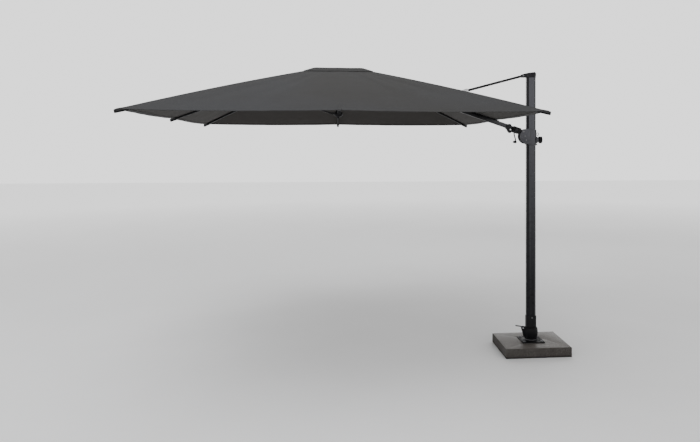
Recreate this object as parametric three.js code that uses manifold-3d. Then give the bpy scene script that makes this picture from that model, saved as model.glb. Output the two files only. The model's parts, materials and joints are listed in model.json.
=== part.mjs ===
// Cantilever parasol: a granite slab, a swivelling mast, a sliding carriage that carries a
// boom with a crank winch, a strut from the mast head to the boom, and a square canopy on
// seven ribs and seven braces. The boom itself carries the canopy's eighth seam.
// Millimetres, +Z up. The origin is the centre of the slab's underside, on the mast's axis.
// +X points from the canopy towards the mast's back.

import * as THREE from 'three';
import { mergeVertices } from 'three/addons/utils/BufferGeometryUtils.js';
import Module from 'manifold-3d';

// ---- Driving dimensions ----

const gap = 0.3;

const slab = { x: 620, y: 525, z: 90, chamfer: 4 };
const basePlate = { side: 212, z: 8, boltSpacing: 80 };
const plateBolt = { radius: 5, head: 10, headZ: 7, depth: 62 };
const post = { flangeRadius: 56, flangeZ: 8, radius: 27, top: 300 };

const mast = { x: 88, y: 68, corner: 17, wall: 3, bottom: 218.5, top: 2597 };
const sleeveBolt = { radius: 4, z: 312 };
const pedal = { x: -80, z: 210, width: 25 };

const canopy = { centreX: -1830, half: 1500, rimZ: 2194, rise: 508, cloth: 1.6, bow: 12 };
const ventHole = 230;
const vent = { half: 306, hemZ: 2611, topHalf: 205, topZ: 2650 };
const strutSlot = { fromCentre: 870, length: 180, halfWidth: 36 };

// The strut's top pivot and its lower pivot, and the carriage's pivot, make an isosceles
// triangle, so the carriage runs straight down the mast as the strut folds.
const strutTop = new THREE.Vector3(-82, 0, 2612);
const strutKnee = new THREE.Vector3(-640, 0, 2462);
const strutFootX = -960;
const boomTube = { height: 40, width: 34, wall: 3, corner: 7 };
const boomDrop = 29;
const carriagePivotX = -82;
const hubPivotRadius = 150;

const ribHinge = { radius: 60, z: 2631 };
const rib = { width: 14, height: 22, tipHeight: 18, wall: 2.2, floor: 6, overhang: 18, clothGap: 4 };
const pinRadius = 3;
const earThickness = 4;
// Where each brace meets its rib: the distance from the hub's axis and the drop below the
// cloth. The corner braces' feet stay in the runner's lugs through the whole fold.
const midRib = { reach: 700, drop: 38, footRadius: 60, tier: 0 };
const cornerRib = { reach: 661.5, drop: 66, footRadius: 53.6, tier: 90 };
const lugHole = 4.8;

// ---- Sizes worked out from them ----

const slope = canopy.rise / canopy.half;
const apexZ = canopy.rimZ + canopy.rise;
const boomAngle = Math.atan(slope);
const boomZ = (x) => apexZ - slope * (x - canopy.centreX) - boomDrop;
const riseToVent = canopy.half - ventHole;

// The cloth's height over a square ring of the canopy, given half the ring's side. It bows a
// little above a straight line between the vent opening and the rim.
function clothZ(half) {
  const bow = 4 * canopy.bow * (half - ventHole) * (canopy.half - half) / riseToVent ** 2;
  return apexZ - slope * half + Math.max(bow, 0);
}

const slabTop = slab.z;
const plateTop = slabTop + gap + basePlate.z;

const boomPivot = new THREE.Vector3(carriagePivotX, 0, boomZ(carriagePivotX));
const strutFoot = new THREE.Vector3(strutFootX, 0, (strutTop.z + boomPivot.z) / 2);
const hubPivot = new THREE.Vector3(
  canopy.centreX + hubPivotRadius, 0, boomZ(canopy.centreX + hubPivotRadius));
const boomLength = boomPivot.distanceTo(hubPivot);

// A mid brace is as long as the reach of its rib's lug, so both ends keep one distance.
const hingeZ = ribHinge.z;
const runnerZ = 2 * (clothZ(midRib.reach) - midRib.drop) - hingeZ;

// ---- Solids ----

const wasm = await Module();
wasm.setup();

// A closed geometry as a solid, with its shared corners merged.
function solid(geometry) {
  const bare = geometry.clone();
  bare.deleteAttribute('normal');
  bare.deleteAttribute('uv');
  const merged = mergeVertices(bare, 1e-4);
  return new wasm.Manifold(new wasm.Mesh({
    numProp: 3,
    vertProperties: new Float32Array(merged.attributes.position.array),
    triVerts: new Uint32Array(merged.index.array),
  }));
}

function geometryOf(manifold) {
  const mesh = manifold.getMesh();
  const geometry = new THREE.BufferGeometry();
  geometry.setAttribute('position', new THREE.BufferAttribute(mesh.vertProperties, 3));
  geometry.setIndex(new THREE.BufferAttribute(mesh.triVerts, 1));
  geometry.computeVertexNormals();
  return geometry;
}

function joined(...geometries) {
  const solids = geometries.map(solid);
  return geometryOf(solids.reduce((whole, next) => whole.add(next)));
}

function cut(geometry, ...tools) {
  let whole = solid(geometry);
  for (const tool of tools) {
    whole = whole.subtract(solid(tool));
  }
  return geometryOf(whole);
}

// A shape from corner points in either direction, with round holes given as [x, y, radius].
function outline(points, holes = []) {
  const corners = points.map(([x, y]) => new THREE.Vector2(x, y));
  if (THREE.ShapeUtils.isClockWise(corners)) {
    corners.reverse();
  }
  const shape = new THREE.Shape(corners);
  for (const [x, y, radius] of holes) {
    shape.holes.push(new THREE.Path().absarc(x, y, radius, 0, 2 * Math.PI, true));
  }
  return shape;
}

// A shape drawn in X and Z, thickened along Y from one side to the other.
function plateXZ(shape, fromY, toY, curveSegments = 5) {
  const geometry = new THREE.ExtrudeGeometry(shape, {
    depth: toY - fromY, bevelEnabled: false, curveSegments,
  });
  return geometry.rotateX(Math.PI / 2).translate(0, toY, 0);
}

// A shape drawn in X and Y, raised from one height to another.
function column(shape, fromZ, toZ, curveSegments = 5) {
  const geometry = new THREE.ExtrudeGeometry(shape, {
    depth: toZ - fromZ, bevelEnabled: false, curveSegments,
  });
  return geometry.translate(0, 0, fromZ);
}

function box(x0, x1, y0, y1, z0, z1) {
  const geometry = new THREE.BoxGeometry(x1 - x0, y1 - y0, z1 - z0);
  return geometry.translate((x0 + x1) / 2, (y0 + y1) / 2, (z0 + z1) / 2);
}

function rodY(x, z, radius, fromY, toY, sides = 12) {
  const geometry = new THREE.CylinderGeometry(radius, radius, toY - fromY, sides);
  return geometry.translate(x, (fromY + toY) / 2, z);
}

function rodX(y, z, radius, fromX, toX, sides = 16) {
  const geometry = new THREE.CylinderGeometry(radius, radius, toX - fromX, sides);
  return geometry.rotateZ(Math.PI / 2).translate((fromX + toX) / 2, y, z);
}

function rodZ(x, y, radius, fromZ, toZ, sides = 16) {
  const geometry = new THREE.CylinderGeometry(radius, radius, toZ - fromZ, sides);
  return geometry.rotateX(Math.PI / 2).translate(x, y, (fromZ + toZ) / 2);
}

// A turned solid about Z, from [radius, height] points.
function turned(points, sides = 28) {
  const profile = points.map(([r, z]) => new THREE.Vector2(r, z));
  return new THREE.LatheGeometry(profile, sides).rotateX(Math.PI / 2);
}

// A bolt along Y: a shank with a hexagon head at each end.
function boltY(x, z, radius, reach, head, headLength) {
  return joined(
    rodY(x, z, radius, -reach, reach),
    rodY(x, z, head, -reach - headLength, -reach, 6),
    rodY(x, z, head, reach, reach + headLength, 6));
}

// An eight-sided outline, the section of the mast and of everything that fits round it.
function octagon(halfX, halfY, corner) {
  return [
    [halfX, -halfY + corner], [halfX, halfY - corner], [halfX - corner, halfY],
    [-halfX + corner, halfY], [-halfX, halfY - corner], [-halfX, -halfY + corner],
    [-halfX + corner, -halfY], [halfX - corner, -halfY],
  ];
}

function mastSection(clearance) {
  return octagon(mast.x / 2 + clearance, mast.y / 2 + clearance, mast.corner);
}

// A ring of the mast's section, between two clearances from the mast's outside.
function mastRing(inner, outer, fromZ, toZ) {
  const shape = outline(mastSection(outer));
  shape.holes.push(new THREE.Path(
    mastSection(inner).reverse().map(([x, y]) => new THREE.Vector2(x, y))));
  return column(shape, fromZ, toZ);
}

function roundedRectangle(halfX, halfY, corner) {
  const shape = new THREE.Shape();
  shape.moveTo(halfX, -halfY + corner);
  shape.absarc(halfX - corner, halfY - corner, corner, 0, Math.PI / 2);
  shape.absarc(-halfX + corner, halfY - corner, corner, Math.PI / 2, Math.PI);
  shape.absarc(-halfX + corner, -halfY + corner, corner, Math.PI, 1.5 * Math.PI);
  shape.absarc(halfX - corner, -halfY + corner, corner, 1.5 * Math.PI, 2 * Math.PI);
  return shape;
}

// ---- Materials ----

const finish = (color, roughness, metalness) =>
  new THREE.MeshStandardMaterial({ color, roughness, metalness });
const granite = finish(0x86827d, 0.35, 0.0);
const castBlack = finish(0x1b1b1d, 0.55, 0.4);
const graphite = finish(0x4b4b50, 0.4, 0.7);
const darkTube = finish(0x222226, 0.45, 0.6);
const steel = finish(0xa4a6aa, 0.3, 1.0);
const plastic = finish(0x111112, 0.6, 0.0);
const cloth = finish(0x55544f, 0.95, 0.0);

const parasol = new THREE.Group();

function place(parent, name, geometry, material) {
  const mesh = new THREE.Mesh(geometry, material);
  mesh.name = name;
  parent.add(mesh);
  return mesh;
}

// ---- Base: slab, plate, bolts and the fixed post that the mast turns on ----

function boltSpots() {
  const reach = basePlate.boltSpacing;
  return [[-reach, -reach], [reach, -reach], [reach, reach], [-reach, reach]];
}

function addBase(group) {
  const chamfer = slab.chamfer;
  const block = new THREE.ExtrudeGeometry(
    outline([
      [slab.x / 2 - chamfer, -slab.y / 2 + chamfer], [slab.x / 2 - chamfer, slab.y / 2 - chamfer],
      [-slab.x / 2 + chamfer, slab.y / 2 - chamfer], [-slab.x / 2 + chamfer, -slab.y / 2 + chamfer],
    ]),
    { depth: slab.z - 2 * chamfer, bevelSize: chamfer, bevelThickness: chamfer, bevelSegments: 1 });
  block.translate(0, 0, chamfer);
  const slabHoles = boltSpots().map(([x, y]) =>
    rodZ(x, y, plateBolt.radius + gap, slabTop - plateBolt.depth - 2, slabTop + 5, 10));
  place(group, 'granite_slab', cut(block, ...slabHoles), granite);

  const half = basePlate.side / 2;
  const holes = boltSpots().map(([x, y]) => [x, y, plateBolt.radius + gap]);
  const plate = outline([[half, -half], [half, half], [-half, half], [-half, -half]], holes);
  place(group, 'base_plate', column(plate, slabTop + gap, plateTop, 6), castBlack);

  boltSpots().forEach(([x, y], index) => {
    const bolt = joined(
      rodZ(x, y, plateBolt.radius, slabTop - plateBolt.depth, plateTop + 2, 10),
      rodZ(x, y, plateBolt.head + 4, plateTop + gap, plateTop + gap + 2, 14),
      rodZ(x, y, plateBolt.head, plateTop + 2, plateTop + gap + 2 + plateBolt.headZ, 6));
    place(group, `plate_bolt_${index + 1}`, bolt, steel);
  });

  const flangeBottom = plateTop + gap;
  place(group, 'swivel_post', turned([
    [0, flangeBottom], [post.flangeRadius, flangeBottom],
    [post.flangeRadius, flangeBottom + post.flangeZ], [post.radius, flangeBottom + post.flangeZ],
    [post.radius, post.top - 4], [post.radius - 4, post.top], [0, post.top],
  ], 24), steel);
}

// ---- Mast: turning foot, pedal, tube and head ----

function addMast(group) {
  const footBottom = plateTop + gap + post.flangeZ + 0.6;
  const bore = post.radius + 0.8;
  const foot = turned([
    [bore, footBottom], [58, footBottom], [60, 128], [66, 152], [67, 172], [66, 190], [61, 212],
    [56, 218], [bore, 218], [bore, footBottom],
  ]);
  const socket = mastRing(gap, 4, 217, 325);
  const ear = outline(
    [[-50, 116], [-64, 116], [-90, 202], [-90, 216], [-84, 222], [-70, 222], [-50, 214]],
    [[pedal.x, pedal.z, 4.4]]);
  const ears = [-1, 1].map((side) => {
    const inner = side * (pedal.width / 2 + gap);
    const outer = side * (pedal.width / 2 + gap + 5);
    return plateXZ(ear, Math.min(inner, outer), Math.max(inner, outer), 4);
  });
  const boltHole = rodY(0, sleeveBolt.z, sleeveBolt.radius + gap, -60, 60);
  const footSolid = cut(joined(foot, socket, ...ears), boltHole,
    rodZ(0, 0, bore, footBottom - 5, 230, 28));
  place(group, 'swivel_foot', footSolid, castBlack);

  const tube = mastRing(-mast.wall, 0, mast.bottom, mast.top);
  place(group, 'mast_tube', cut(tube, boltHole), graphite);
  place(group, 'sleeve_bolt',
    boltY(0, sleeveBolt.z, sleeveBolt.radius, mast.y / 2 + 4 + gap, 8, 5), steel);
  place(group, 'pedal_pin', boltY(pedal.x, pedal.z, 4, pedal.width / 2 + 5.6 + gap, 7, 3), steel);

  const cap = column(outline(mastSection(2)), mast.top + gap, 2626);
  const plug = mastRing(-mast.wall - 4, -mast.wall - gap, mast.top - 45, mast.top + 1);
  const crown = outline([
    [40, 2598], [46, 2612], [47, 2636], [36, 2650], [-30, 2641], [-80, 2629], [-92, 2625],
    [-98, 2614], [-96, 2603], [-86, 2597], [-46, 2598],
  ]);
  const nose = plateXZ(crown, -22, 22);
  const pinHole = rodY(strutTop.x, strutTop.z, 5.5, -40, 40);
  place(group, 'mast_head', cut(joined(cap, plug, nose), pinHole), castBlack);
  place(group, 'strut_pin', boltY(strutTop.x, strutTop.z, 5, 31.5, 9, 6), steel);
}

function addPedal(group) {
  const half = pedal.width / 2;
  const shape = outline([
    [-150, 229], [-148, 235], [-96, 227], [-84, 220], [-72, 214], [-71, 205], [-78, 201],
    [-88, 203], [-94, 214], [-104, 221],
  ], [[pedal.x, pedal.z, 4.4]]);
  place(group, 'pedal', plateXZ(shape, -half, half, 4), graphite);
}

// ---- Strut: two bars either side of the boom, bent at a pair of joint plates ----

// A bar of even width along three points, round at both ends.
function bentBar(a, knee, b, halfWidth, endRadius) {
  const across = (p, q) => new THREE.Vector2(p.z - q.z, q.x - p.x).normalize();
  const first = across(a, knee);
  const second = across(knee, b);
  const mitre = first.clone().add(second).normalize();
  mitre.multiplyScalar(1 / mitre.dot(first));
  const corner = (p, direction, side) =>
    [p.x + direction.x * halfWidth * side, p.z + direction.y * halfWidth * side];
  const strip = outline([
    corner(a, first, 1), corner(knee, mitre, 1), corner(b, second, 1),
    corner(b, second, -1), corner(knee, mitre, -1), corner(a, first, -1),
  ]);
  return (fromY, toY) => joined(
    plateXZ(strip, fromY, toY),
    rodY(a.x, a.z, endRadius, fromY, toY, 16), rodY(b.x, b.z, endRadius, fromY, toY, 16));
}

function addStrut(group) {
  const bar = bentBar(strutTop, strutKnee, strutFoot, 10, 12);
  const direction = Math.atan2(strutTop.z - strutKnee.z, strutTop.x - strutKnee.x);
  for (const [name, side] of [['near', -1], ['far', 1]]) {
    const inner = Math.min(side * 24, side * 31);
    const holes = [strutTop, strutFoot].map((p) => rodY(p.x, p.z, 5.5, -60, 60));
    place(group, `strut_bar_${name}`, cut(bar(inner, inner + 7), ...holes), darkTube);

    const plate = plateXZ(roundedRectangle(26, 17, 8), -3, 3, 3);
    const mesh = place(group, `strut_joint_${name}`, plate, steel);
    mesh.position.set(strutKnee.x, side * (31 + gap + 3), strutKnee.z);
    mesh.rotation.y = -direction;
  }
}

// ---- Boom: drawn along its own X axis, with the carriage pivot at zero ----

const boomGroup = new THREE.Group();
boomGroup.position.copy(boomPivot);
boomGroup.rotation.y = boomAngle;

const alongBoom = (worldX) => (worldX - boomPivot.x) / Math.cos(boomAngle);

function addBoom(group) {
  const halfHeight = boomTube.height / 2;
  const halfWidth = boomTube.width / 2;
  const lower = -172;
  const upper = -boomLength + 45;
  const inside = boomTube.wall + 1.3;

  const section = roundedRectangle(halfHeight, halfWidth, boomTube.corner);
  const bore = roundedRectangle(
    halfHeight - boomTube.wall, halfWidth - boomTube.wall, boomTube.corner - boomTube.wall);
  section.holes.push(new THREE.Path(bore.getPoints(3).reverse()));
  const tube = column(section, upper, lower, 3).rotateY(Math.PI / 2);
  place(group, 'boom_tube', tube, darkTube);

  const plug = (from, to) => box(
    from, to, -halfWidth + inside, halfWidth - inside, -halfHeight + inside, halfHeight - inside);
  const head = joined(
    plug(upper - 2, upper + 55),
    box(-boomLength, upper - gap, -14, 14, -16, 16),
    rodY(-boomLength, 0, 16, -14, 14, 20));
  place(group, 'boom_head', cut(head, rodY(-boomLength, 0, 5.5, -30, 30)), castBlack);

  addBoomFoot(group, plug, lower);
  addStrutBracket(group);

  const railEnd = alongBoom(canopy.centreX + canopy.half + rib.overhang - 4);
  const railStart = alongBoom(canopy.centreX + 330);
  place(group, 'canopy_rail',
    box(railStart, railEnd, -11, 11, halfHeight + gap, halfHeight + 5), plastic);
}

// The casting at the boom's lower end: a plug, a deep cheek for its clamp bolt, and a tang
// with a cross tube that turns on the carriage pivot between the winch covers.
function addBoomFoot(group, plug, lower) {
  const cheek = outline([
    [lower + gap, -19], [-150, -29], [-134, -45], [-116, -54], [-106, -50], [-104, -30],
    [-106, 14], [-120, 18], [-134, 29], [-150, 27], [-156, 19], [lower + gap, 19],
  ]);
  const tang = outline([[-120, -20], [0, -11], [0, 11], [-120, 14]]);
  const casting = joined(
    plug(lower - 45, lower + 2), plateXZ(cheek, -20, 20), plateXZ(tang, -6, 6),
    rodY(0, 0, 13, -39, 39, 18));
  const holes = [rodY(0, 0, 6.5, -50, 50), rodY(-123, -22, 5.5, -50, 50), rodY(-68, -8, 8, -20, 20)];
  place(group, 'boom_foot', cut(casting, ...holes), castBlack);
  place(group, 'clamp_bolt', boltY(-123, -22, 5, 20 + gap, 9, 6), steel);
}

// A saddle under the boom that carries the strut's lower pivot.
function addStrutBracket(group) {
  const foot = boomGroup.worldToLocal(strutFoot.clone());
  const inner = boomTube.width / 2 + gap;
  const side = outline([
    [foot.x - 42, 12], [foot.x - 42, -20], [foot.x - 13, foot.z - 12], [foot.x + 13, foot.z - 12],
    [foot.x + 42, -20], [foot.x + 42, 12],
  ]);
  const saddle = joined(
    plateXZ(side, -inner - 4, -inner), plateXZ(side, inner, inner + 4),
    box(foot.x - 32, foot.x + 32, -inner - 1, inner + 1, -24.3, -boomTube.height / 2 - gap));
  place(group, 'strut_bracket', cut(saddle, rodY(foot.x, foot.z, 5.5, -40, 40)), castBlack);
  place(group, 'bracket_bolt', boltY(foot.x, foot.z, 5, 31.5, 9, 6), steel);
}

// ---- Winch: two cup-shaped covers on the boom's foot, a drum, a crank and its grip ----

const crankShaft = { x: -74, z: -8, radius: 6 };
const crankGrip = { drop: 115, shift: 29 };

function addWinchCovers(group) {
  const shell = [[-102, -35], [-34, -35], [-24, -26], [-24, 12], [-32, 21], [-102, 21]];
  const hollow = [[-98, -31], [-36, -31], [-28, -24], [-28, 10], [-34, 17], [-98, 17]];
  const near = cut(
    plateXZ(outline(shell), -44, -6.4), plateXZ(outline(hollow), -41, -6),
    rodY(crankShaft.x, crankShaft.z, crankShaft.radius + 0.5, -60, -20, 16));
  const far = cut(plateXZ(outline(shell), 6.4, 36), plateXZ(outline(hollow), 6, 33));
  place(group, 'winch_cover_near', near, plastic);
  place(group, 'winch_cover_far', far, plastic);
}

function addCrank(group) {
  const { x, z, radius } = crankShaft;
  place(group, 'winch_drum', cut(
    joined(rodY(x, z, 14, -36, -10, 16), rodY(x, z, 20, -12.5, -10, 16), rodY(x, z, 20, -38, -35.5, 16)),
    rodY(x, z, radius + gap, -50, 0, 12)), steel);

  const down = new THREE.Vector2(Math.sin(boomAngle), -Math.cos(boomAngle));
  const left = new THREE.Vector2(-Math.cos(boomAngle), -Math.sin(boomAngle));
  const at = (drop, shift) => new THREE.Vector3(
    x + down.x * drop + left.x * shift, -59, z + down.y * drop + left.y * shift);
  const end = at(crankGrip.drop, crankGrip.shift);
  const route = new THREE.CatmullRomCurve3([
    at(0, 0), at(14, 12), at(30, 24), at(62, 19), at(92, 11), at(108, 14), end,
  ]);
  const section = roundedRectangle(6, 5, 3);
  const arm = new THREE.ExtrudeGeometry(section, { extrudePath: route, steps: 18, curveSegments: 2 });
  const crank = joined(
    rodY(x, z, radius, -62, -9, 12), rodY(x, z, 12, -66, -53, 16), arm,
    rodY(end.x, end.z, 7, -66, -53, 12), rodY(end.x, end.z, 3.5, -112, -60, 10));
  place(group, 'crank', crank, darkTube);
  const body = cut(
    joined(rodY(end.x, end.z, 11, -118, -67, 16), rodY(end.x, end.z, 14, -123, -112, 16)),
    rodY(end.x, end.z, 4.2, -114, -60, 10));
  place(group, 'crank_grip', body, plastic);
}

// ---- Carriage: slides on the mast and carries the boom's pivot ----

function addCarriage(group) {
  const z = boomPivot.z;
  const clamp = outline([
    [46, z - 45], [60, z - 49], [69, z - 60], [69, z - 97], [60, z - 109], [46, z - 113],
  ]);
  const sleeve = joined(
    mastRing(1.4, 5.6, z - 125, z + 18), plateXZ(clamp, -17, 17),
    rodX(0, z - 78, 20, 66, 74, 18), rodX(0, z - 122, 8, 46, 62, 12));
  const faceX = mast.x / 2 + 5.6;
  place(group, 'carriage_sleeve',
    cut(sleeve, rodX(0, z - 78, 6.5, 40, 90, 12), mastCutter(1.4, z - 140, z + 30)), graphite);

  const disc = { x: -43, z: z - 45, radius: 72 };
  const boltPlaces = [[boomPivot.x, z, 6], [-70, z - 44, 5], [-58, z - 82, 5]];
  const inner = mast.y / 2 + 5.6 + gap;
  for (const [name, side] of [['near', -1], ['far', 1]]) {
    const from = side < 0 ? -inner - 6 : inner;
    const whole = joined(
      rodY(disc.x, disc.z, disc.radius, from, from + 6, 40),
      rodY(boomPivot.x, boomPivot.z, 17, from, from + 6, 20));
    const holes = boltPlaces.map(([x, boltZ, radius]) => rodY(x, boltZ, radius + 0.5, -60, 60));
    const plate = cut(whole, ...holes, box(-20, 80, -60, 60, z - 120, z + 40));
    place(group, `tilt_plate_${name}`, plate, graphite);
  }
  const names = ['boom_pivot_bolt', 'tilt_bolt', 'plate_bolt'];
  boltPlaces.forEach(([x, boltZ, radius], index) => {
    place(group, names[index] === 'plate_bolt' ? 'tilt_plate_bolt' : names[index],
      boltY(x, boltZ, radius, inner + 6 + gap, radius + 3, 5), steel);
  });

  const ring = new THREE.TorusGeometry(12, 3.2, 8, 20).rotateX(Math.PI / 2);
  ring.translate(faceX + gap + 17, 0, z - 24);
  const foot = box(faceX + gap, faceX + 3 + gap, -9, 9, z - 36, z - 12);
  const neck = box(faceX + 2, faceX + 8, -3, 3, z - 28, z - 20);
  place(group, 'eyelet', joined(ring, foot, neck), darkTube);
}

function mastCutter(clearance, fromZ, toZ) {
  return column(outline(mastSection(clearance)), fromZ, toZ);
}

function addClampKnob(group) {
  const z = boomPivot.z - 78;
  const lobes = 7;
  const rim = new THREE.Shape();
  const steps = lobes * 6;
  for (let i = 0; i < steps; i += 1) {
    const angle = (2 * Math.PI * i) / steps;
    const radius = 32 + 2.5 * Math.cos(lobes * angle);
    const point = [radius * Math.cos(angle), radius * Math.sin(angle)];
    if (i === 0) {
      rim.moveTo(...point);
    } else {
      rim.lineTo(...point);
    }
  }
  const wheel = new THREE.ExtrudeGeometry(
    rim, { depth: 24, bevelSize: 3, bevelThickness: 3, bevelOffset: -3, bevelSegments: 1 });
  wheel.rotateY(Math.PI / 2).translate(81, 0, z);
  place(group, 'clamp_knob', joined(wheel, rodX(0, z, 6, 48, 90, 12), rodX(0, z, 12, 74.5, 82, 16)), plastic);
}

// ---- Hub, runner, ribs and braces ----

const ribAzimuths = [45, 90, 135, 180, 225, 270, 315];
const ribNames = {
  45: 'corner_far_mast', 90: 'far', 135: 'corner_far_outer', 180: 'outer',
  225: 'corner_near_outer', 270: 'near', 315: 'corner_near_mast',
};
const isCorner = (azimuth) => azimuth % 90 !== 0;

function squareTurned(points) {
  return turned(points.map(([half, z]) => [half * Math.SQRT2, z]), 4).rotateZ(Math.PI / 4);
}

function spoke(geometry, azimuth) {
  return geometry.rotateZ(THREE.MathUtils.degToRad(azimuth));
}

function addHub(group) {
  const inner = rib.width / 2 + 0.6;
  const outer = inner + earThickness;
  const ear = [[38, hingeZ - 8], [62, hingeZ - 7], [68, hingeZ - 2], [68, hingeZ + 4],
    [62, hingeZ + 8], [54, hingeZ + 8], [50, hingeZ + 3], [38, hingeZ + 3]];
  const pieces = [turned([
    [0, hingeZ - 12], [46, hingeZ - 12], [50, hingeZ - 8], [50, hingeZ + 3], [46, hingeZ + 5],
    [0, hingeZ + 5],
  ])];
  for (const azimuth of ribAzimuths) {
    pieces.push(spoke(plateXZ(outline(ear), inner, outer), azimuth));
    pieces.push(spoke(plateXZ(outline(ear), -outer, -inner), azimuth));
    pieces.push(spoke(rodY(ribHinge.radius, hingeZ, pinRadius, -outer, outer, 8), azimuth));
  }
  const arm = outline([
    [30, hingeZ - 12], [90, hingeZ - 18], [hubPivotRadius - 8, hubPivot.z - 17],
    [hubPivotRadius + 12, hubPivot.z - 13], [hubPivotRadius + 17, hubPivot.z],
    [hubPivotRadius + 8, hubPivot.z + 13], [90, hingeZ + 4], [30, hingeZ + 5],
  ]);
  pieces.push(plateXZ(arm, 14.8, 19.8), plateXZ(arm, -19.8, -14.8));
  const whole = cut(joined(...pieces),
    rodZ(0, 0, 14 + gap, hingeZ - 40, hingeZ + 40, 20),
    rodY(hubPivotRadius, hubPivot.z, 5.5, -40, 40));
  place(group, 'hub', whole, castBlack);
  place(group, 'hub_bolt', boltY(hubPivotRadius, hubPivot.z, 5, 20.2, 9, 5), steel);

  // The post ends in a disc that holds the middle of the vent cap up.
  const discZ = hingeZ + 5 + gap;
  const underCap = vent.topZ - canopy.cloth - gap;
  place(group, 'hub_post', turned([
    [0, hingeZ - 74], [14, hingeZ - 74], [14, discZ], [44, discZ], [48, discZ + 3],
    [48, underCap - 2], [44, underCap], [0, underCap],
  ], 24), darkTube);
}

function addRunner(group) {
  const cornerTier = runnerZ + cornerRib.tier;
  const pieces = [turned([
    [0, runnerZ - 48], [9, runnerZ - 44], [13, runnerZ - 32], [30, runnerZ - 26],
    [38, runnerZ - 18], [42, runnerZ - 8],
    [42, runnerZ + 8], [24, runnerZ + 16], [24, cornerTier - 14],
    [40, cornerTier - 8], [40, cornerTier + 8], [0, cornerTier + 8],
  ])];
  for (const azimuth of ribAzimuths) {
    const { footRadius, tier } = braceOf(azimuth);
    const z = runnerZ + tier;
    const lug = outline([
      [30, z - 8], [footRadius, z - 9], [footRadius + 7, z - 6], [footRadius + 9, z],
      [footRadius + 7, z + 6], [footRadius, z + 9], [30, z + 8],
    ], [[footRadius, z, lugHole]]);
    pieces.push(spoke(plateXZ(lug, -rib.width / 2, rib.width / 2, 6), azimuth));
  }
  const bore = rodZ(0, 0, 16, runnerZ + 4, cornerTier + 20, 18);
  place(group, 'runner', cut(joined(...pieces), bore), plastic);
}

const braceOf = (azimuth) => (isCorner(azimuth) ? cornerRib : midRib);

// The cloth's height above a rib, at a distance from the hub's axis.
function clothAbove(azimuth, distance) {
  return clothZ(isCorner(azimuth) ? distance / Math.SQRT2 : distance);
}

// A rib runs level out of the hub, below the vent cap, and then close under the cloth. It is
// a channel with its open side towards the cloth.
function addRib(group, azimuth) {
  const { reach, drop } = braceOf(azimuth);
  const pivotZ = clothAbove(azimuth, reach) - drop;
  const rim = canopy.half * (isCorner(azimuth) ? Math.SQRT2 : 1);
  const top = (distance) =>
    Math.min(clothAbove(azimuth, distance) - rib.clothGap, hingeZ + rib.height / 2 - 0.2);
  const steps = [0.16, 0.4, 0.55, 0.7, 0.85, 1].map((share) => share * rim);
  const tip = rim + rib.overhang;
  const fall = (top(rim - 40) - top(rim)) / 40;
  const tipTop = top(rim) - rib.overhang * fall;
  const elbow = isCorner(azimuth) ? 233 : 165;
  const depth = (distance) =>
    rib.height - (rib.height - rib.tipHeight) * Math.max(distance - reach, 0) / (tip - reach);
  const under = (distance) => [distance, top(distance) - depth(distance)];
  const above = (distance) => [distance, top(distance)];
  const inner = ribHinge.radius;
  const shape = outline([
    [inner - 6, hingeZ - 5], [inner + 2, hingeZ - 8], [elbow - 20, hingeZ - 11.2],
    under(elbow + 15), under(reach - 26), [reach - 10, pivotZ - 4], [reach - 5, pivotZ - 8],
    [reach + 5, pivotZ - 8], [reach + 10, pivotZ - 4], under(reach + 26),
    ...steps.slice(2).map(under), [tip, tipTop - rib.tipHeight], [tip, tipTop],
    ...steps.slice(1).reverse().map(above), above(elbow + 40), above(elbow),
    [inner + 24, hingeZ + 10.5], [inner + 4, hingeZ + 7], [inner - 5, hingeZ + 6],
  ], [[inner, hingeZ, pinRadius + 0.5], [reach, pivotZ, pinRadius + 0.5]]);
  const half = rib.width / 2;
  const along = [elbow + 25, reach, ...steps.slice(2)];
  const groove = outline([
    ...along.map((distance) => [distance, top(distance) - depth(distance) + rib.floor]),
    ...along.reverse().map((distance) => [distance, top(distance) + 8]),
  ]);
  const channel = cut(
    plateXZ(shape, -half, half, 5), plateXZ(groove, rib.wall - half, half - rib.wall));
  place(group, `rib_${ribNames[azimuth]}`, channel, darkTube);
}

// A brace is a channel: two side plates, a web between them, and a pin at each end.
function addBrace(group, azimuth) {
  const { reach, drop, footRadius, tier } = braceOf(azimuth);
  const foot = new THREE.Vector2(footRadius, runnerZ + tier);
  const head = new THREE.Vector2(reach, clothAbove(azimuth, reach) - drop);
  const length = head.distanceTo(foot);
  const inner = rib.width / 2 + 0.7;
  const outer = inner + 2.5;
  const side = outline([
    [-6, -4], [0, -7], [30, -7], [length - 30, -7], [length, -7], [length + 6, -4], [length + 6, 4],
    [length, 7], [length - 30, 6], [30, 6], [0, 7], [-6, 4],
  ]);
  const brace = joined(
    plateXZ(side, inner, outer), plateXZ(side, -outer, -inner),
    box(34, length - 48, -inner - 1, inner + 1, -7, -4.5),
    rodY(0, 0, pinRadius, -outer, outer, 8), rodY(length, 0, pinRadius, -outer, outer, 8));
  const mesh = place(group, `brace_${ribNames[azimuth]}`, brace, darkTube);
  mesh.position.set(foot.x, 0, foot.y);
  mesh.rotation.y = -Math.atan2(head.y - foot.y, head.x - foot.x);
}

// ---- Canopy and vent cap, as square shells of cloth ----

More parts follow.
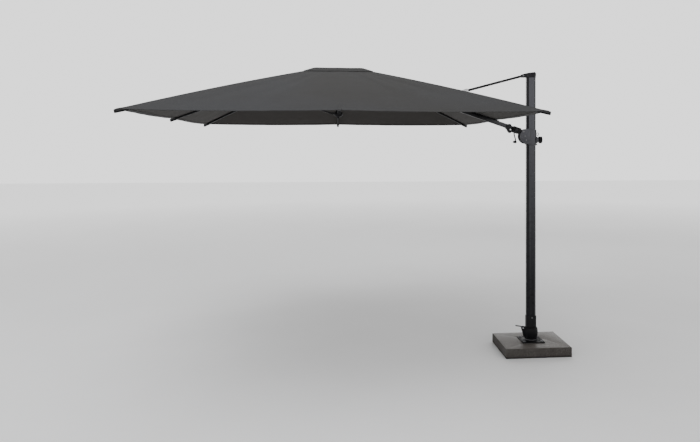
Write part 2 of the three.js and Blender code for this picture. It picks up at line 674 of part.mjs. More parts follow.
function addCanopy(group) {
  const steps = [0, 0.2, 0.4, 0.6, 0.8, 1].map((share) => ventHole + share * riseToVent);
  const skin = (shift) => steps.map((half) => [half, clothZ(half) + shift]);
  const thickness = canopy.cloth / 2 / Math.cos(boomAngle);
  const under = skin(-thickness);
  const shell = squareTurned([...under, ...skin(thickness).reverse(), under[0]]);
  const slotX = strutSlot.fromCentre;
  const slot = box(
    slotX, slotX + strutSlot.length, -strutSlot.halfWidth, strutSlot.halfWidth, 2200, 2600);
  place(group, 'canopy', cut(shell, slot), cloth);

  const bottom = vent.topZ - canopy.cloth;
  place(group, 'vent_canopy', squareTurned([
    [0, bottom], [vent.topHalf - 0.9, bottom], [vent.half - 0.9, vent.hemZ - canopy.cloth],
    [vent.half, vent.hemZ], [vent.topHalf, vent.topZ], [0, vent.topZ],
  ]), cloth);
}

// ---- The whole parasol ----

boomGroup.updateMatrixWorld(true);
addBase(parasol);
addMast(parasol);
addPedal(parasol);
addStrut(parasol);
addBoom(boomGroup);
addWinchCovers(boomGroup);
addCrank(boomGroup);
parasol.add(boomGroup);
addCarriage(parasol);
addClampKnob(parasol);

const canopyGroup = new THREE.Group();
canopyGroup.position.x = canopy.centreX;
addHub(canopyGroup);
addRunner(canopyGroup);
addCanopy(canopyGroup);
for (const azimuth of ribAzimuths) {
  const wing = new THREE.Group();
  wing.rotation.z = THREE.MathUtils.degToRad(azimuth);
  addRib(wing, azimuth);
  addBrace(wing, azimuth);
  canopyGroup.add(wing);
}
parasol.add(canopyGroup);

export default parasol;
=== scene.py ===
import json
import math

import bpy
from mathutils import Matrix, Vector, noise


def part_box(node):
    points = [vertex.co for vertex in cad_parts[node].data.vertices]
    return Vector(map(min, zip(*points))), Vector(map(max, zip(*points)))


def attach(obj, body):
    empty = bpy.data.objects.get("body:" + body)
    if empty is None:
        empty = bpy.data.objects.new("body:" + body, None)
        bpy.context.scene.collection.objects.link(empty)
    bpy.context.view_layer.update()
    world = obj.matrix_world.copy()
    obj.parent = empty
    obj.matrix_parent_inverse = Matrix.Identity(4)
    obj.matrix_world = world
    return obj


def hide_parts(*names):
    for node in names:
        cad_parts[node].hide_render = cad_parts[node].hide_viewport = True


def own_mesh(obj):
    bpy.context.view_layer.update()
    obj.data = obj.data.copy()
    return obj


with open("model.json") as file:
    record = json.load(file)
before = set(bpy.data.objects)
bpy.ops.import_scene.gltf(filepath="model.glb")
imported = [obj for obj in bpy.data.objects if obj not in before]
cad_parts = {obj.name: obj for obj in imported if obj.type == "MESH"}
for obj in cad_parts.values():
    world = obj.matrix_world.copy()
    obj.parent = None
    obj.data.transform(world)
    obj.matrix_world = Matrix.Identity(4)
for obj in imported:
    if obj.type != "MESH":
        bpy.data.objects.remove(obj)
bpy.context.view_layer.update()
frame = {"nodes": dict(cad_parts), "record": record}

# ---- Sizes in metres, from the frame where it holds them ----

canopy_low, canopy_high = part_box("canopy")
CENTRE = (canopy_low.x + canopy_high.x) / 2
HALF = (canopy_high.x - canopy_low.x) / 2
RIM_Z = canopy_low.z + 0.0015
RISE = 0.508
BOW = 0.012
CLOTH = 0.0008
VENT_HOLE = 0.23
VENT_EYE = 0.048
PATCH_RADIUS = 0.074
VENT_HALF = (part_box("vent_canopy")[1].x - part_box("vent_canopy")[0].x) / 2
VENT_HEM_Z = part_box("vent_canopy")[0].z - 0.0028
VENT_TOP_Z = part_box("vent_canopy")[1].z
VENT_TOP_HALF = 0.205
SLOPE = RISE / HALF
BORDER = math.tan(math.radians(22.5))
# the opening that the strut passes through, out from the canopy's centre, and its half width
SLOT = (0.87, 1.05)
SLOT_HALF = 0.036

RIBS = {
    45: "rib_corner_far_mast",
    90: "rib_far",
    135: "rib_corner_far_outer",
    180: "rib_outer",
    225: "rib_corner_near_outer",
    270: "rib_near",
    315: "rib_corner_near_mast",
}


# ---- Shader helpers ----


def new_material(name):
    material = bpy.data.materials.new(name)
    material.use_nodes = True
    material.node_tree.nodes.clear()
    return material


class Shader:
    """A small wrapper that adds nodes and sets or links their sockets."""

    def __init__(self, name):
        self.material = new_material(name)
        self.tree = self.material.node_tree
        self.output = self.tree.nodes.new("ShaderNodeOutputMaterial")
        self.surface = self.add("ShaderNodeBsdfPrincipled")
        self.link(self.surface.outputs[0], self.output.inputs[0])

    def add(self, kind, **settings):
        node = self.tree.nodes.new(kind)
        for key, value in settings.items():
            setattr(node, key, value)
        return node

    def link(self, source, target):
        self.tree.links.new(source, target)

    def put(self, node, socket, value):
        if isinstance(value, bpy.types.NodeSocket):
            self.link(value, node.inputs[socket])
        else:
            node.inputs[socket].default_value = value

    def coordinates(self, kind="Object"):
        return self.add("ShaderNodeTexCoord").outputs[kind]

    def noise(self, vector, scale, detail=3.0, roughness=0.5):
        node = self.add("ShaderNodeTexNoise")
        self.put(node, "Vector", vector)
        self.put(node, "Scale", scale)
        self.put(node, "Detail", detail)
        self.put(node, "Roughness", roughness)
        return node.outputs["Fac"]

    def ramp(self, factor, stops):
        node = self.add("ShaderNodeValToRGB")
        self.put(node, "Fac", factor)
        while len(node.color_ramp.elements) < len(stops):
            node.color_ramp.elements.new(0.5)
        for element, (position, color) in zip(node.color_ramp.elements, stops):
            element.position = position
            element.color = (*color, 1.0) if len(color) == 3 else color
        return node.outputs["Color"]

    def range(self, value, low, high, to_low, to_high):
        node = self.add("ShaderNodeMapRange")
        self.put(node, "Value", value)
        for socket, number in zip(
            ("From Min", "From Max", "To Min", "To Max"), (low, high, to_low, to_high)
        ):
            self.put(node, socket, number)
        return node.outputs["Result"]

    def math(self, operation, a, b=0.0, clamp=False):
        node = self.add("ShaderNodeMath", operation=operation, use_clamp=clamp)
        self.put(node, 0, a)
        self.put(node, 1, b)
        return node.outputs[0]

    def mix(self, factor, a, b, blend="MIX"):
        node = self.add("ShaderNodeMix", data_type="RGBA", blend_type=blend)
        self.put(node, "Factor", factor)
        colors = [s for s in node.inputs if s.type == "RGBA"]
        for socket, value in zip(colors, (a, b)):
            if isinstance(value, bpy.types.NodeSocket):
                self.link(value, socket)
            else:
                socket.default_value = (*value, 1.0)
        return [s for s in node.outputs if s.type == "RGBA"][0]

    def bump(self, height, strength, distance, normal=None):
        node = self.add("ShaderNodeBump")
        self.put(node, "Height", height)
        self.put(node, "Strength", strength)
        self.put(node, "Distance", distance)
        if normal is not None:
            self.link(normal, node.inputs["Normal"])
        return node.outputs["Normal"]

    def set(self, **values):
        names = {
            "color": "Base Color",
            "roughness": "Roughness",
            "metallic": "Metallic",
            "normal": "Normal",
            "coat": "Coat Weight",
            "coat_roughness": "Coat Roughness",
            "sheen": "Sheen Weight",
            "sheen_roughness": "Sheen Roughness",
            "specular": "Specular IOR Level",
        }
        for key, value in values.items():
            if key == "color" and isinstance(value, tuple):
                value = (*value, 1.0)
            self.put(self.surface, names[key], value)
        return self.material


def painted(
    name, dark, light, roughness, grain, specular, coat=0.0, painted_light=None, painted_chamfer_shade=False
):
    """Powder coat or paint: fine orange peel, cloudy tone, slightly rubbed patches.

    The optional axis tuple is painted light: an axis, where a painted lighter tone starts and
    ends along it, and its amount. With the chamfer option, only the wide faces take it, and the
    chamfers are left dark as painted shade.
    """
    s = Shader(name)
    where = s.coordinates()
    cloud = s.noise(where, 6.0, 4.0)
    color = s.ramp(cloud, [(0.3, dark), (0.7, light)])
    dust = s.range(s.noise(where, 30.0, 5.0), 0.5, 0.75, 0.0, 0.03)
    color = s.mix(dust, color, (0.16, 0.155, 0.15))
    if painted_light:
        # painted light: the finish is painted lighter along the axis where more light falls on
        # it, and is left darker where it lies in shade
        axis, start, end, amount = painted_light
        place = s.add("ShaderNodeSeparateXYZ")
        s.put(place, "Vector", where)
        share = s.range(place.outputs[axis], start, end, 0.0, amount)
        if painted_chamfer_shade:
            # painted shade: only the wide faces take the painted lighter tone, so the chamfers
            # and narrow sides stay dark, standing in for the dark reflections on them
            facing = s.add("ShaderNodeSeparateXYZ")
            s.put(facing, "Vector", s.coordinates("Normal"))
            side = s.math("ABSOLUTE", facing.outputs["Y"])
            share = s.math("MULTIPLY", share, s.range(side, 0.78, 0.96, 0.0, 1.0))
        color = s.mix(share, color, (0.07, 0.07, 0.078))
    rough = s.range(s.noise(where, 25.0, 4.0), 0.3, 0.7, roughness - 0.06, roughness + 0.08)
    peel = s.noise(where, grain, 2.0)
    normal = s.bump(peel, 0.08, 0.0002)
    s.set(color=color, roughness=rough, normal=normal, specular=specular, coat=coat)
    s.put(s.surface, "Coat Roughness", 0.22)
    return s.material


def brushed_metal(name, color, roughness, grain=600.0):
    s = Shader(name)
    where = s.coordinates()
    stretch = s.add("ShaderNodeMapping")
    s.put(stretch, "Vector", where)
    stretch.inputs["Scale"].default_value = (1.0, 1.0, 12.0)
    lines = s.noise(stretch.outputs[0], grain, 3.0)
    tone = s.range(lines, 0.3, 0.7, 0.0, 1.0)
    shade = s.mix(tone, tuple(c * 0.75 for c in color), color)
    rough = s.range(s.noise(where, 60.0, 4.0), 0.3, 0.7, roughness - 0.08, roughness + 0.12)
    normal = s.bump(lines, 0.12, 0.0003)
    return s.set(color=shade, roughness=rough, metallic=1.0, normal=normal)


def moulded(name, dark, light, roughness):
    """Moulded plastic with a fine spark-eroded grain."""
    s = Shader(name)
    where = s.coordinates()
    color = s.ramp(s.noise(where, 15.0, 3.0), [(0.3, dark), (0.7, light)])
    grain = s.add("ShaderNodeTexVoronoi")
    s.put(grain, "Vector", where)
    s.put(grain, "Scale", 900.0)
    normal = s.bump(grain.outputs["Distance"], 0.15, 0.0003)
    rough = s.range(s.noise(where, 30.0, 3.0), 0.3, 0.7, roughness - 0.06, roughness + 0.06)
    return s.set(color=color, roughness=rough, normal=normal, specular=0.1)


def granite(name):
    """Speckled stone: polished on top inside a thin dark border line, sawn at the sides."""
    s = Shader(name)
    where = s.coordinates()
    low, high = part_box("granite_slab")
    crystals = s.add("ShaderNodeTexVoronoi", feature="F1")
    s.put(crystals, "Vector", where)
    s.put(crystals, "Scale", 260.0)
    fine = s.add("ShaderNodeTexVoronoi", feature="F1")
    s.put(fine, "Vector", where)
    s.put(fine, "Scale", 620.0)
    tone = s.add("ShaderNodeSeparateColor")
    s.put(tone, "Color", crystals.outputs["Color"])
    small = s.add("ShaderNodeSeparateColor")
    s.put(small, "Color", fine.outputs["Color"])
    grains = s.ramp(
        tone.outputs[0],
        [
            (0.0, (0.018, 0.017, 0.017)),
            (0.3, (0.066, 0.056, 0.049)),
            (0.62, (0.130, 0.114, 0.100)),
            (0.9, (0.24, 0.22, 0.20)),
        ],
    )
    specks = s.ramp(
        small.outputs[1],
        [
            (0.0, (0.015, 0.015, 0.016)),
            (0.5, (0.09, 0.084, 0.078)),
            (1.0, (0.26, 0.25, 0.24)),
        ],
    )
    stone = s.mix(0.4, grains, specks)
    cloud = s.noise(where, 9.0, 5.0)
    stone = s.mix(s.range(cloud, 0.35, 0.7, 0.0, 0.35), stone, (0.06, 0.048, 0.040))

    normal_part = s.add("ShaderNodeSeparateXYZ")
    s.put(normal_part, "Vector", s.coordinates("Normal"))
    top = s.range(normal_part.outputs["Z"], 0.85, 0.95, 0.0, 1.0)
    side = s.math("SUBTRACT", 1.0, top)
    stone = s.mix(s.math("MULTIPLY", side, 0.55), stone, (0.010, 0.009, 0.010))

    place = s.add("ShaderNodeSeparateXYZ")
    s.put(place, "Vector", where)
    x = s.math("ABSOLUTE", place.outputs["X"])
    y = s.math("ABSOLUTE", place.outputs["Y"])
    edge_x = s.math("SUBTRACT", high.x - 0.016, x)
    edge_y = s.math("SUBTRACT", high.y - 0.016, y)
    nearest = s.math("MINIMUM", edge_x, edge_y)
    line = s.math("LESS_THAN", s.math("ABSOLUTE", nearest), 0.0032)
    line = s.math("MULTIPLY", line, top)
    stone = s.mix(s.math("MULTIPLY", line, 0.7), stone, (0.02, 0.017, 0.015))

    # painted shade: the slab is painted near-black towards its bottom edge, where it meets the
    # floor
    painted_floor_shade = s.range(place.outputs["Z"], 0.004, 0.022, 0.85, 0.0)
    stone = s.mix(painted_floor_shade, stone, (0.006, 0.006, 0.006))

    polish = s.range(s.noise(where, 50.0, 4.0), 0.3, 0.7, 0.3, 0.42)
    rough = s.math("ADD", polish, s.math("MULTIPLY", side, 0.4))
    chipped = s.noise(where, 420.0, 3.0)
    height = s.math("MULTIPLY", chipped, side)
    normal = s.bump(height, 0.5, 0.0015)
    return s.set(color=stone, roughness=rough, normal=normal, specular=0.11)


def woven(name, cool, warm, seam=False):
    """Polyester canopy cloth: plain weave, sewn lines near its hem, faint dust and fading."""
    s = Shader(name)
    uv = s.add("ShaderNodeUVMap", uv_map="cloth").outputs["UV"]
    hem = s.add("ShaderNodeUVMap", uv_map="hem").outputs["UV"]
    cloth = s.add("ShaderNodeSeparateXYZ")
    s.put(cloth, "Vector", uv)
    edge = s.add("ShaderNodeSeparateXYZ")
    s.put(edge, "Vector", hem)

    def thread(axis, offset):
        turns = s.math("MULTIPLY", cloth.outputs[axis], 2 * math.pi / 0.0016)
        return s.math("SINE", s.math("ADD", turns, offset))

    weave = s.math("MULTIPLY", thread("X", 0.0), thread("Y", math.pi / 2))
    slub = s.noise(uv, 260.0, 4.0, 0.6)

    where = s.coordinates()
    fade = s.noise(where, 1.1, 3.0)
    color = s.ramp(fade, [(0.35, cool), (0.65, warm)])
    threads = s.range(weave, -1.0, 1.0, 0.0, 0.35)
    color = s.mix(threads, color, tuple(0.55 * c for c in warm))
    dust = s.range(s.noise(where, 18.0, 6.0, 0.65), 0.5, 0.8, 0.0, 0.16)
    color = s.mix(dust, color, tuple(1.5 * c for c in warm))

    dash = s.math("FRACT", s.math("DIVIDE", edge.outputs["X"], 0.0055))
    dash = s.math("LESS_THAN", dash, 0.68)
    lines = (0.004, 0.012) if seam else (0.003, 0.024)
    stitches = 0.0
    for distance in lines:
        gap = s.math("ABSOLUTE", s.math("SUBTRACT", edge.outputs["Y"], distance))
        row = s.math("LESS_THAN", gap, 0.0006)
        stitches = s.math("ADD", s.math("MULTIPLY", row, dash), stitches, clamp=True)
    color = s.mix(s.math("MULTIPLY", stitches, 0.7), color, tuple(0.5 * c for c in cool))

    pucker = s.math("ABSOLUTE", s.math("SUBTRACT", edge.outputs["Y"], lines[1]))
    pucker = s.range(pucker, 0.0, 0.012, 1.0, 0.0)
    ripple = s.math("MULTIPLY", pucker, s.noise(hem, 90.0, 2.0))
    height = s.math("ADD", s.math("MULTIPLY", weave, 0.5), s.math("MULTIPLY", slub, 0.6))
    normal = s.bump(height, 0.25, 0.0004)
    normal = s.bump(s.math("ADD", ripple, s.math("MULTIPLY", stitches, 0.6)), 0.4, 0.0016, normal)
    soft = s.noise(where, 7.0, 3.0)
    normal = s.bump(soft, 0.12, 0.006, normal)
    rough = s.range(slub, 0.3, 0.7, 0.82, 0.96)
    s.set(color=color, roughness=rough, normal=normal, sheen=0.06, specular=0.12)
    s.put(s.surface, "Sheen Roughness", 0.6)

    glow = s.add("ShaderNodeBsdfTranslucent")
    s.link(color, glow.inputs["Color"])
    s.link(normal, glow.inputs["Normal"])
    both = s.add("ShaderNodeMixShader")
    both.inputs["Fac"].default_value = 0.06
    s.link(s.surface.outputs[0], both.inputs[1])
    s.link(glow.outputs[0], both.inputs[2])
    s.link(both.outputs[0], s.output.inputs[0])
    return s.material


# ---- Materials ----

cloth_material = woven("canopy_cloth", (0.034, 0.0345, 0.037), (0.030, 0.029, 0.028))
# painted shade: a darker, warmer copy of the cloth for the canopy's underside, standing in for
# the shade under it
painted_shade_underside = woven("canopy_underside_painted_shade", (0.024, 0.021, 0.018), (0.020, 0.017, 0.015))
tape_material = woven("seam_tape", (0.033, 0.0335, 0.036), (0.029, 0.028, 0.027), seam=True)
materials = {
    "granite": granite("granite"),
    "cast_black": painted(
        "cast_black", (0.004, 0.004, 0.0045), (0.008, 0.008, 0.009), 0.5, 500.0, 0.1
    ),
    "cast_alloy": painted(
        "cast_alloy", (0.006, 0.006, 0.007), (0.011, 0.011, 0.013), 0.45, 700.0, 0.12
    ),
    # graphite: painted lighter towards the top of the mast on its wide faces (painted light),
    # with its chamfers left dark (painted shade)
    "graphite": painted(
        "graphite", (0.005, 0.005, 0.006), (0.009, 0.009, 0.011), 0.3, 900.0, 0.13,
        coat=0.02, painted_light=("Z", 0.6, 2.4, 0.85), painted_chamfer_shade=True,
    ),
    # boom_grey: painted lighter where the boom comes out from under the canopy (painted light),
    # and darker under it (painted shade)
    "boom_grey": painted(
        "boom_grey", (0.003, 0.003, 0.0035), (0.006, 0.006, 0.007), 0.3, 900.0, 0.16,
        painted_light=("X", -0.5, -0.3, 0.4),
    ),
    "dark_tube": painted(
        "dark_tube", (0.004, 0.004, 0.0045), (0.008, 0.008, 0.009), 0.4, 900.0, 0.12
    ),
    "steel_black": painted(
        "steel_black", (0.006, 0.006, 0.007), (0.013, 0.013, 0.015), 0.38, 900.0, 0.15
    ),
    "steel": brushed_metal("steel", (0.52, 0.52, 0.53), 0.3),
    "steel_dull": brushed_metal("steel_dull", (0.13, 0.13, 0.135), 0.42),
    "plastic": moulded("plastic", (0.003, 0.003, 0.0035), (0.006, 0.006, 0.007), 0.48),
    "canopy_cloth": cloth_material,
}

slots = {s["node"]: s["material_slot"] for s in frame["record"]["subparts"]}
DULL = (
    "boom_pivot_bolt", "tilt_bolt", "tilt_plate_bolt", "sleeve_bolt", "strut_pin",
    "plate_bolt_1", "plate_bolt_2", "plate_bolt_3", "plate_bolt_4", "swivel_post",
)
slots.update(dict.fromkeys(DULL, "steel_dull"), boom_tube="boom_grey", eyelet="steel_black")
REPLACED = ("canopy", "vent_canopy")
CREASE = math.radians(38)
for name, node in frame["nodes"].items():
    node.data.materials.clear()
    node.data.materials.append(materials[slots[name]])
    if name in REPLACED:
        continue
    node.data.shade_smooth()
    weld = node.modifiers.new("weld", "WELD")
    weld.merge_threshold = 1e-5
    smallest = min(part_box(name)[1][i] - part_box(name)[0][i] for i in range(3))
    bevel = node.modifiers.new("bevel", "BEVEL")
    bevel.width = 0.002 if name == "granite_slab" else min(0.0012, smallest * 0.05)
    bevel.segments = 2
    bevel.limit_method = "ANGLE"
    bevel.angle_limit = CREASE
    bevel.use_clamp_overlap = True
    bevel.harden_normals = True
    split = node.modifiers.new("split", "EDGE_SPLIT")
    split.split_angle = CREASE


# ---- Cloth ----


def cloth_height(half):
    bow = 4 * BOW * (half - VENT_HOLE) * (HALF - half) / (HALF - VENT_HOLE) ** 2
    return RIM_Z + (HALF - half) * SLOPE + max(bow, 0.0)


def vent_height(half):
    fall = (VENT_TOP_Z - VENT_HEM_Z) / (VENT_HALF - VENT_TOP_HALF)
    sharp = VENT_TOP_Z - max(half - VENT_TOP_HALF, 0.0) * fall
    # the bend at the flat top is a soft one
    near = max(0.0, 1 - abs(half - VENT_TOP_HALF) / 0.03)
    return sharp - 0.0035 * near * near


def face_point(face, half, across, z):
    """A point on the side of the pyramid that faces that way; across runs from -half to half."""
    turn = math.radians(face)
    x = CENTRE + half * math.cos(turn) - across * math.sin(turn)
    y = half * math.sin(turn) + across * math.cos(turn)
    return Vector((x, y, z))


def sag(half, share, depth):
    """Cloth hangs a little between its ribs, most at the rim and nothing at a rib."""
    between = abs(share)
    return -depth * (half / HALF) * 4 * between * (1 - between)


def wrinkle(point, half, share, amount):
    """Faint tension folds that fan out from the hub, none along the ribs."""
    fan = noise.noise(Vector((share * 9.0, half * 1.3, 3.1)))
    small = noise.noise(Vector((point.x * 7, point.y * 7, 0.7)))
    free = min(1.0, 6 * abs(share) * (1 - abs(share)))
    return amount * free * (0.75 * fan + 0.35 * small)


def thicken_with_painted_shade_underside(obj, thickness):
    """Gives a sheet its thickness, with a darker copy of the cloth on its underside as painted
    shade.
    """
    obj.data.materials.append(painted_shade_underside)
    solid = obj.modifiers.new("thickness", "SOLIDIFY")
    solid.thickness = thickness
    solid.offset = -1
    solid.material_offset = 1
    made = obj.evaluated_get(bpy.context.evaluated_depsgraph_get())
    mesh = bpy.data.meshes.new_from_object(made)
    obj.modifiers.clear()
    obj.data = mesh
    mesh.shade_smooth()
    mesh.set_sharp_from_angle(angle=math.radians(40))


def build_mesh(name, points, faces, cloth_uv, hem_uv, material):
    mesh = bpy.data.meshes.new(name)
    mesh.from_pydata([tuple(p) for p in points], [], faces)
    for label, values in (("cloth", cloth_uv), ("hem", hem_uv)):
        layer = mesh.uv_layers.new(name=label)
        for loop in mesh.loops:
            layer.data[loop.index].uv = values[loop.vertex_index]
    mesh.materials.append(material)
    mesh.shade_smooth()
    obj = bpy.data.objects.new(name, mesh)
    bpy.context.scene.collection.objects.link(obj)
    return obj


def surface_z(kind, half, share):
    if kind == "main":
        return cloth_height(half) + sag(half, share, 0.009)
    return vent_height(half) + sag(half, share, 0.004) * 2


def sector(kind, face, start, end, line):
    """One gore between two borders, in shares of the half side, that rides on its rib."""
    inner, outer = (VENT_HOLE, HALF) if kind == "main" else (VENT_EYE, VENT_HALF)
    rows = 56 if kind == "main" else 22
    columns = 15 if kind == "main" else 9
    halves = [inner + (outer - inner) * i / rows for i in range(rows + 1)]
    points, cloth_uv, hem_uv = [], [], []
    slant = math.hypot(1.0, SLOPE)
    hem_drop = 0.0028 if kind == "main" else 0.002

    def add(half, share, drop, shift=0.0):
        at = half - shift
        z = surface_z(kind, half, share)
        point = face_point(face, at, at * share, z)
        lift = 0.0
        if kind == "main":
            lift = wrinkle(point, half, share, 0.0035)
        point.z = z + lift - drop + shift * SLOPE
        points.append(point)
        cloth_uv.append((at * share, at * slant))
        hem_uv.append((at * share, (outer - at) * slant if drop == 0 else 1.0 + shift))

    for half in halves:
        for j in range(columns + 1):
            add(half, start + (end - start) * j / columns, 0.0)
    # the hem is turned under: an edge, and a band that runs back below the cloth
    for drop, shift in ((hem_drop, 0.0), (hem_drop, 0.028 if kind == "main" else 0.015)):
        for j in range(columns + 1):
            add(outer, start + (end - start) * j / columns, drop, shift)
    wide = columns + 1
    faces = []
    for i in range(rows + 2):
        for j in range(columns):
            a = i * wide + j
            faces.append((a, a + 1, a + 1 + wide, a + wide))
    if kind == "main" and face == 0:
        keep = []
        for f in faces:
            middle = sum((points[k] for k in f), Vector()) / 4
            inside = SLOT[0] < middle.x - CENTRE < SLOT[1] and abs(middle.y) < SLOT_HALF
            if not inside or f[0] >= (rows + 1) * wide:
                keep.append(f)
        faces = keep
    # faces look up
    first = faces[0]
    normal = (points[first[1]] - points[first[0]]).cross(points[first[2]] - points[first[1]])
    if normal.z < 0:
        faces = [tuple(reversed(f)) for f in faces]
    label = RIBS[line].removeprefix("rib_")
    side = "" if kind == "main" else "vent_"
    name = f"{side}cloth_{label}_{face:03d}"
    obj = build_mesh(name, points, faces, cloth_uv, hem_uv, cloth_material)
    thicken_with_painted_shade_underside(obj, CLOTH)
    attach(obj, RIBS[line])
    gather(obj, kind, face, line)
    area = 0.5 * (end - start) * (outer**2 - inner**2) * slant
    width = (end - start) * outer
    length = (outer - inner) * slant
    flat_area = min(area, width * length)
    sheets.append((obj, line, (width, length), flat_area))
    return obj


def gather(obj, kind, face, line):
    """Works out the gore's ends on its rib and its flat direction, which are not used, and gives
    the gore its own mesh.
    """
    share = {0: 0.0, 45: 1.0, -45: -1.0}[(line - face + 180) % 360 - 180]
    height = cloth_height if kind == "main" else vent_height
    low, high = (VENT_HOLE, HALF) if kind == "main" else (VENT_TOP_HALF, VENT_HALF)
    a = face_point(face, low, low * share, height(low))
    b = face_point(face, high, high * share, height(high))
    flat = face_point(face, high, 0.0, height(high)) - face_point(face, low, 0.0, height(low))
    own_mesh(obj)


def seam_tape(line):
    """A tape sewn along a corner seam, or a short one at a mid rib's tip, widest at the tip."""
    corner = line % 90 != 0
    face = (line - 45) % 360 if corner else line
    share = 1.0 if corner else 0.0
    inner, outer = VENT_HOLE if corner else HALF - 0.13, HALF + 0.004
    rows = 60 if corner else 14
    points, cloth_uv, hem_uv, faces = [], [], [], []
    spans = (-1.0, -0.55, 0.0, 0.55, 1.0)
    turn = math.radians(line)
    sideways = Vector((-math.sin(turn), math.cos(turn), 0.0))
    stretch = math.sqrt(2) if corner else 1.0
    for i in range(rows + 1):
        half = inner + (outer - inner) * i / rows
        pocket = max(0.0, (half - HALF + 0.1) / 0.1)
        width = 0.008 + 0.0055 * pocket
        over = 0.003 * max(0.0, (half - HALF + 0.03) / 0.03) ** 0.5
        centre = face_point(face, half, half * share, cloth_height(half))
        for span in spans:
            v = span * width
            fall = abs(v) * SLOPE / math.sqrt(2) if corner else 0.0
            lift = 0.0009 - (0.0007 if abs(span) == 1.0 else 0.0)
            points.append(centre + sideways * v + Vector((0, 0, lift + over - fall)))
            cloth_uv.append((v, half * stretch))
            hem_uv.append((half * stretch, width - abs(v)))
    wide = len(spans)
    for i in range(rows):
        for j in range(wide - 1):
            a = i * wide + j
            faces.append((a, a + wide, a + 1 + wide, a + 1))
    name = "tape_" + RIBS[line].removeprefix("rib_")
    obj = build_mesh(name, points, faces, cloth_uv, hem_uv, tape_material)
    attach(obj, RIBS[line])
    return obj


sheets, main_cloths, vent_cloths = [], [], []
for face in (0, 90, 180, 270):
    low_rib, high_rib = (face - 45) % 360, (face + 45) % 360
    if face == 0:
        spans = [(-1.0, 0.0, low_rib), (0.0, 1.0, high_rib)]
    else:
        spans = [(-1.0, -BORDER, low_rib), (-BORDER, BORDER, face), (BORDER, 1.0, high_rib)]
    for start, end, line in spans:
        main_cloths.append(sector("main", face, start, end, line))
        vent_cloths.append(sector("vent", face, start, end, line))
tapes = {line: seam_tape(line) for line in RIBS}
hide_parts("canopy")


def vent_button():
    """A round patch sewn over the middle of the vent cap, which stays on the hub."""
    points, uv, faces = [Vector((CENTRE, 0, VENT_TOP_Z + 0.0016))], [(0.0, 0.0)], []
    rings, around = 5, 48
    for i in range(1, rings + 1):
        radius = PATCH_RADIUS * i / rings
        z = VENT_TOP_Z + (0.0016 if i < rings else 0.0004)
        for k in range(around):
            turn = 2 * math.pi * k / around
            points.append(Vector((CENTRE + radius * math.cos(turn), radius * math.sin(turn), z)))
            uv.append((radius * math.cos(turn), radius * math.sin(turn)))
    for k in range(around):
        faces.append((0, 1 + k, 1 + (k + 1) % around))
    for i in range(rings - 1):
        for k in range(around):
            a, b = 1 + i * around + k, 1 + i * around + (k + 1) % around
            faces.append((a, a + around, b + around, b))
    hem = [(u + v, PATCH_RADIUS - math.hypot(u, v)) for u, v in uv]
    obj = build_mesh("vent_patch", points, faces, uv, hem, tape_material)
    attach(obj, "hub")
    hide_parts("vent_canopy")
    return obj


patch = vent_button()


# ---- Small moulded pieces that the cloth and ribs carry ----


def tip_block(name, line, low, high, material):
    """A rounded block over a rib's tip, sized in a frame that slopes with the rib."""
    corners = [
        (x, y, z) for z in (low[2], high[2]) for y in (low[1], high[1]) for x in (low[0], high[0])
    ]
    faces = [(0, 2, 3, 1), (4, 5, 7, 6), (0, 1, 5, 4), (2, 6, 7, 3), (0, 4, 6, 2), (1, 3, 7, 5)]
    mesh = bpy.data.meshes.new(name)
    mesh.from_pydata(corners, [], faces)
    mesh.materials.append(material)
    obj = bpy.data.objects.new(name + RIBS[line].removeprefix("rib_"), mesh)
    bpy.context.scene.collection.objects.link(obj)
    rounded = obj.modifiers.new("bevel", "BEVEL")
    rounded.width = 0.004
    rounded.segments = 3
    stretch = math.sqrt(2) if line % 90 else 1.0
    obj.location = face_point(line, HALF * stretch, 0.0, RIM_Z - 0.004)
    obj.rotation_euler = (0, math.atan(SLOPE / stretch), math.radians(line))
    return obj


def rib_cap(line):
    """A moulded cap over the rib's tip, which holds the cloth's pocket."""
    inside = 0.08 if line % 90 else 0.035
    low, high = (-inside, -0.0095, -0.0225), (0.024, 0.0095, 0.0022)
    obj = tip_block("cap_", line, low, high, materials["plastic"])
    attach(obj, RIBS[line])


def tip_pocket(line):
    """The cloth's pocket, sewn over the upper half of the cap."""
    inside = 0.055 if line % 90 else 0.025
    low, high = (-inside, -0.0125, -0.0105), (0.018, 0.0125, 0.0052)
    obj = tip_block("pocket_", line, low, high, tape_material)
    for label in ("cloth", "hem"):
        layer = obj.data.uv_layers.new(name=label)
        for loop in obj.data.loops:
            co = obj.data.vertices[loop.vertex_index].co
            layer.data[loop.index].uv = (co.x, co.y + co.z + 0.02)
    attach(obj, RIBS[line])
    return obj


for line in RIBS:
    rib_cap(line)
pockets = {line: tip_pocket(line) for line in RIBS}

# collects the ribs that carry a main gore
seen = set()
for obj, line, flat, area in sheets:
    if obj in main_cloths and line not in seen:
        seen.add(line)


# ---- Room, light and camera ----


def floor_material():
    s = Shader("floor")
    where = s.coordinates()
    tone = s.ramp(s.noise(where, 0.8, 4.0), [(0.3, (0.86, 0.86, 0.86)), (0.7, (0.9, 0.9, 0.9))])
    reach = s.add("ShaderNodeVectorMath", operation="LENGTH")
    s.put(reach, 0, where)
    glow = s.range(reach.outputs["Value"], 3.0, 18.0, 0.0, 0.95)
    s.link(tone, s.surface.inputs["Emission Color"])
    s.put(s.surface, "Emission Strength", glow)
    return s.set(color=tone, roughness=0.7, specular=0.2)


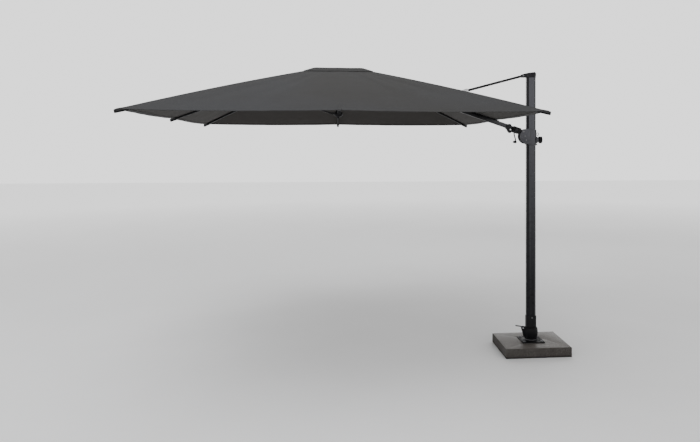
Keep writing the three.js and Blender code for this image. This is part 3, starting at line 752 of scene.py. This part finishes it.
floor_mesh = bpy.data.meshes.new("floor")
floor_mesh.from_pydata(
    [(-30, -30, 0), (30, -30, 0), (30, 30, 0), (-30, 30, 0)], [], [(0, 1, 2, 3)]
)
floor_mesh.materials.append(floor_material())
floor = bpy.data.objects.new("floor", floor_mesh)
floor.location = (0, 0, -0.0005)
bpy.context.scene.collection.objects.link(floor)


def area_light(name, location, target, size, power, color=(1, 1, 1)):
    data = bpy.data.lights.new(name, "AREA")
    data.shape = "RECTANGLE"
    data.size, data.size_y = size
    data.energy = power
    data.color = color
    obj = bpy.data.objects.new(name, data)
    obj.location = location
    direction = Vector(target) - Vector(location)
    obj.rotation_euler = direction.to_track_quat("-Z", "Y").to_euler()
    bpy.context.scene.collection.objects.link(obj)


area_light("key", (-4.0, -3.0, 7.0), (-1.2, 0, 1.8), (6.0, 6.0), 400, (0.97, 0.98, 1.0))
area_light("fill", (4.5, -6.0, 3.5), (-0.8, 0, 1.6), (3.0, 4.0), 70, (1.0, 0.97, 0.94))
area_light("back", (1.5, 6.0, 5.0), (-0.8, 0, 1.8), (5.0, 3.0), 90)


def studio_world():
    """A bright band all round the horizon that fades to a dimmer ceiling."""
    world = bpy.data.worlds.new("studio")
    bpy.context.scene.world = world
    world.use_nodes = True
    tree = world.node_tree
    sky = tree.nodes["Background"]
    sky.inputs["Color"].default_value = (1.0, 1.0, 1.0, 1.0)
    where = tree.nodes.new("ShaderNodeTexCoord")
    part = tree.nodes.new("ShaderNodeSeparateXYZ")
    ramp = tree.nodes.new("ShaderNodeMapRange")
    ramp.interpolation_type = "SMOOTHSTEP"
    numbers = {"From Min": 0.22, "From Max": 0.5, "To Min": 1.7, "To Max": 0.45}
    for socket, number in numbers.items():
        ramp.inputs[socket].default_value = number
    tree.links.new(where.outputs["Generated"], part.inputs[0])
    tree.links.new(part.outputs["Z"], ramp.inputs["Value"])
    tree.links.new(ramp.outputs["Result"], sky.inputs["Strength"])


studio_world()

camera_data = bpy.data.cameras.new("camera")
camera_data.sensor_width = 36.0
camera_data.lens = 33.53
camera_data.shift_x = -0.0693
camera_data.shift_y = -0.106
camera = bpy.data.objects.new("camera", camera_data)
camera.location = (-1.854, -6.083, 1.936)
camera.rotation_euler = (math.radians(90), 0, math.radians(-5.49))
bpy.context.scene.collection.objects.link(camera)
bpy.context.scene.camera = camera
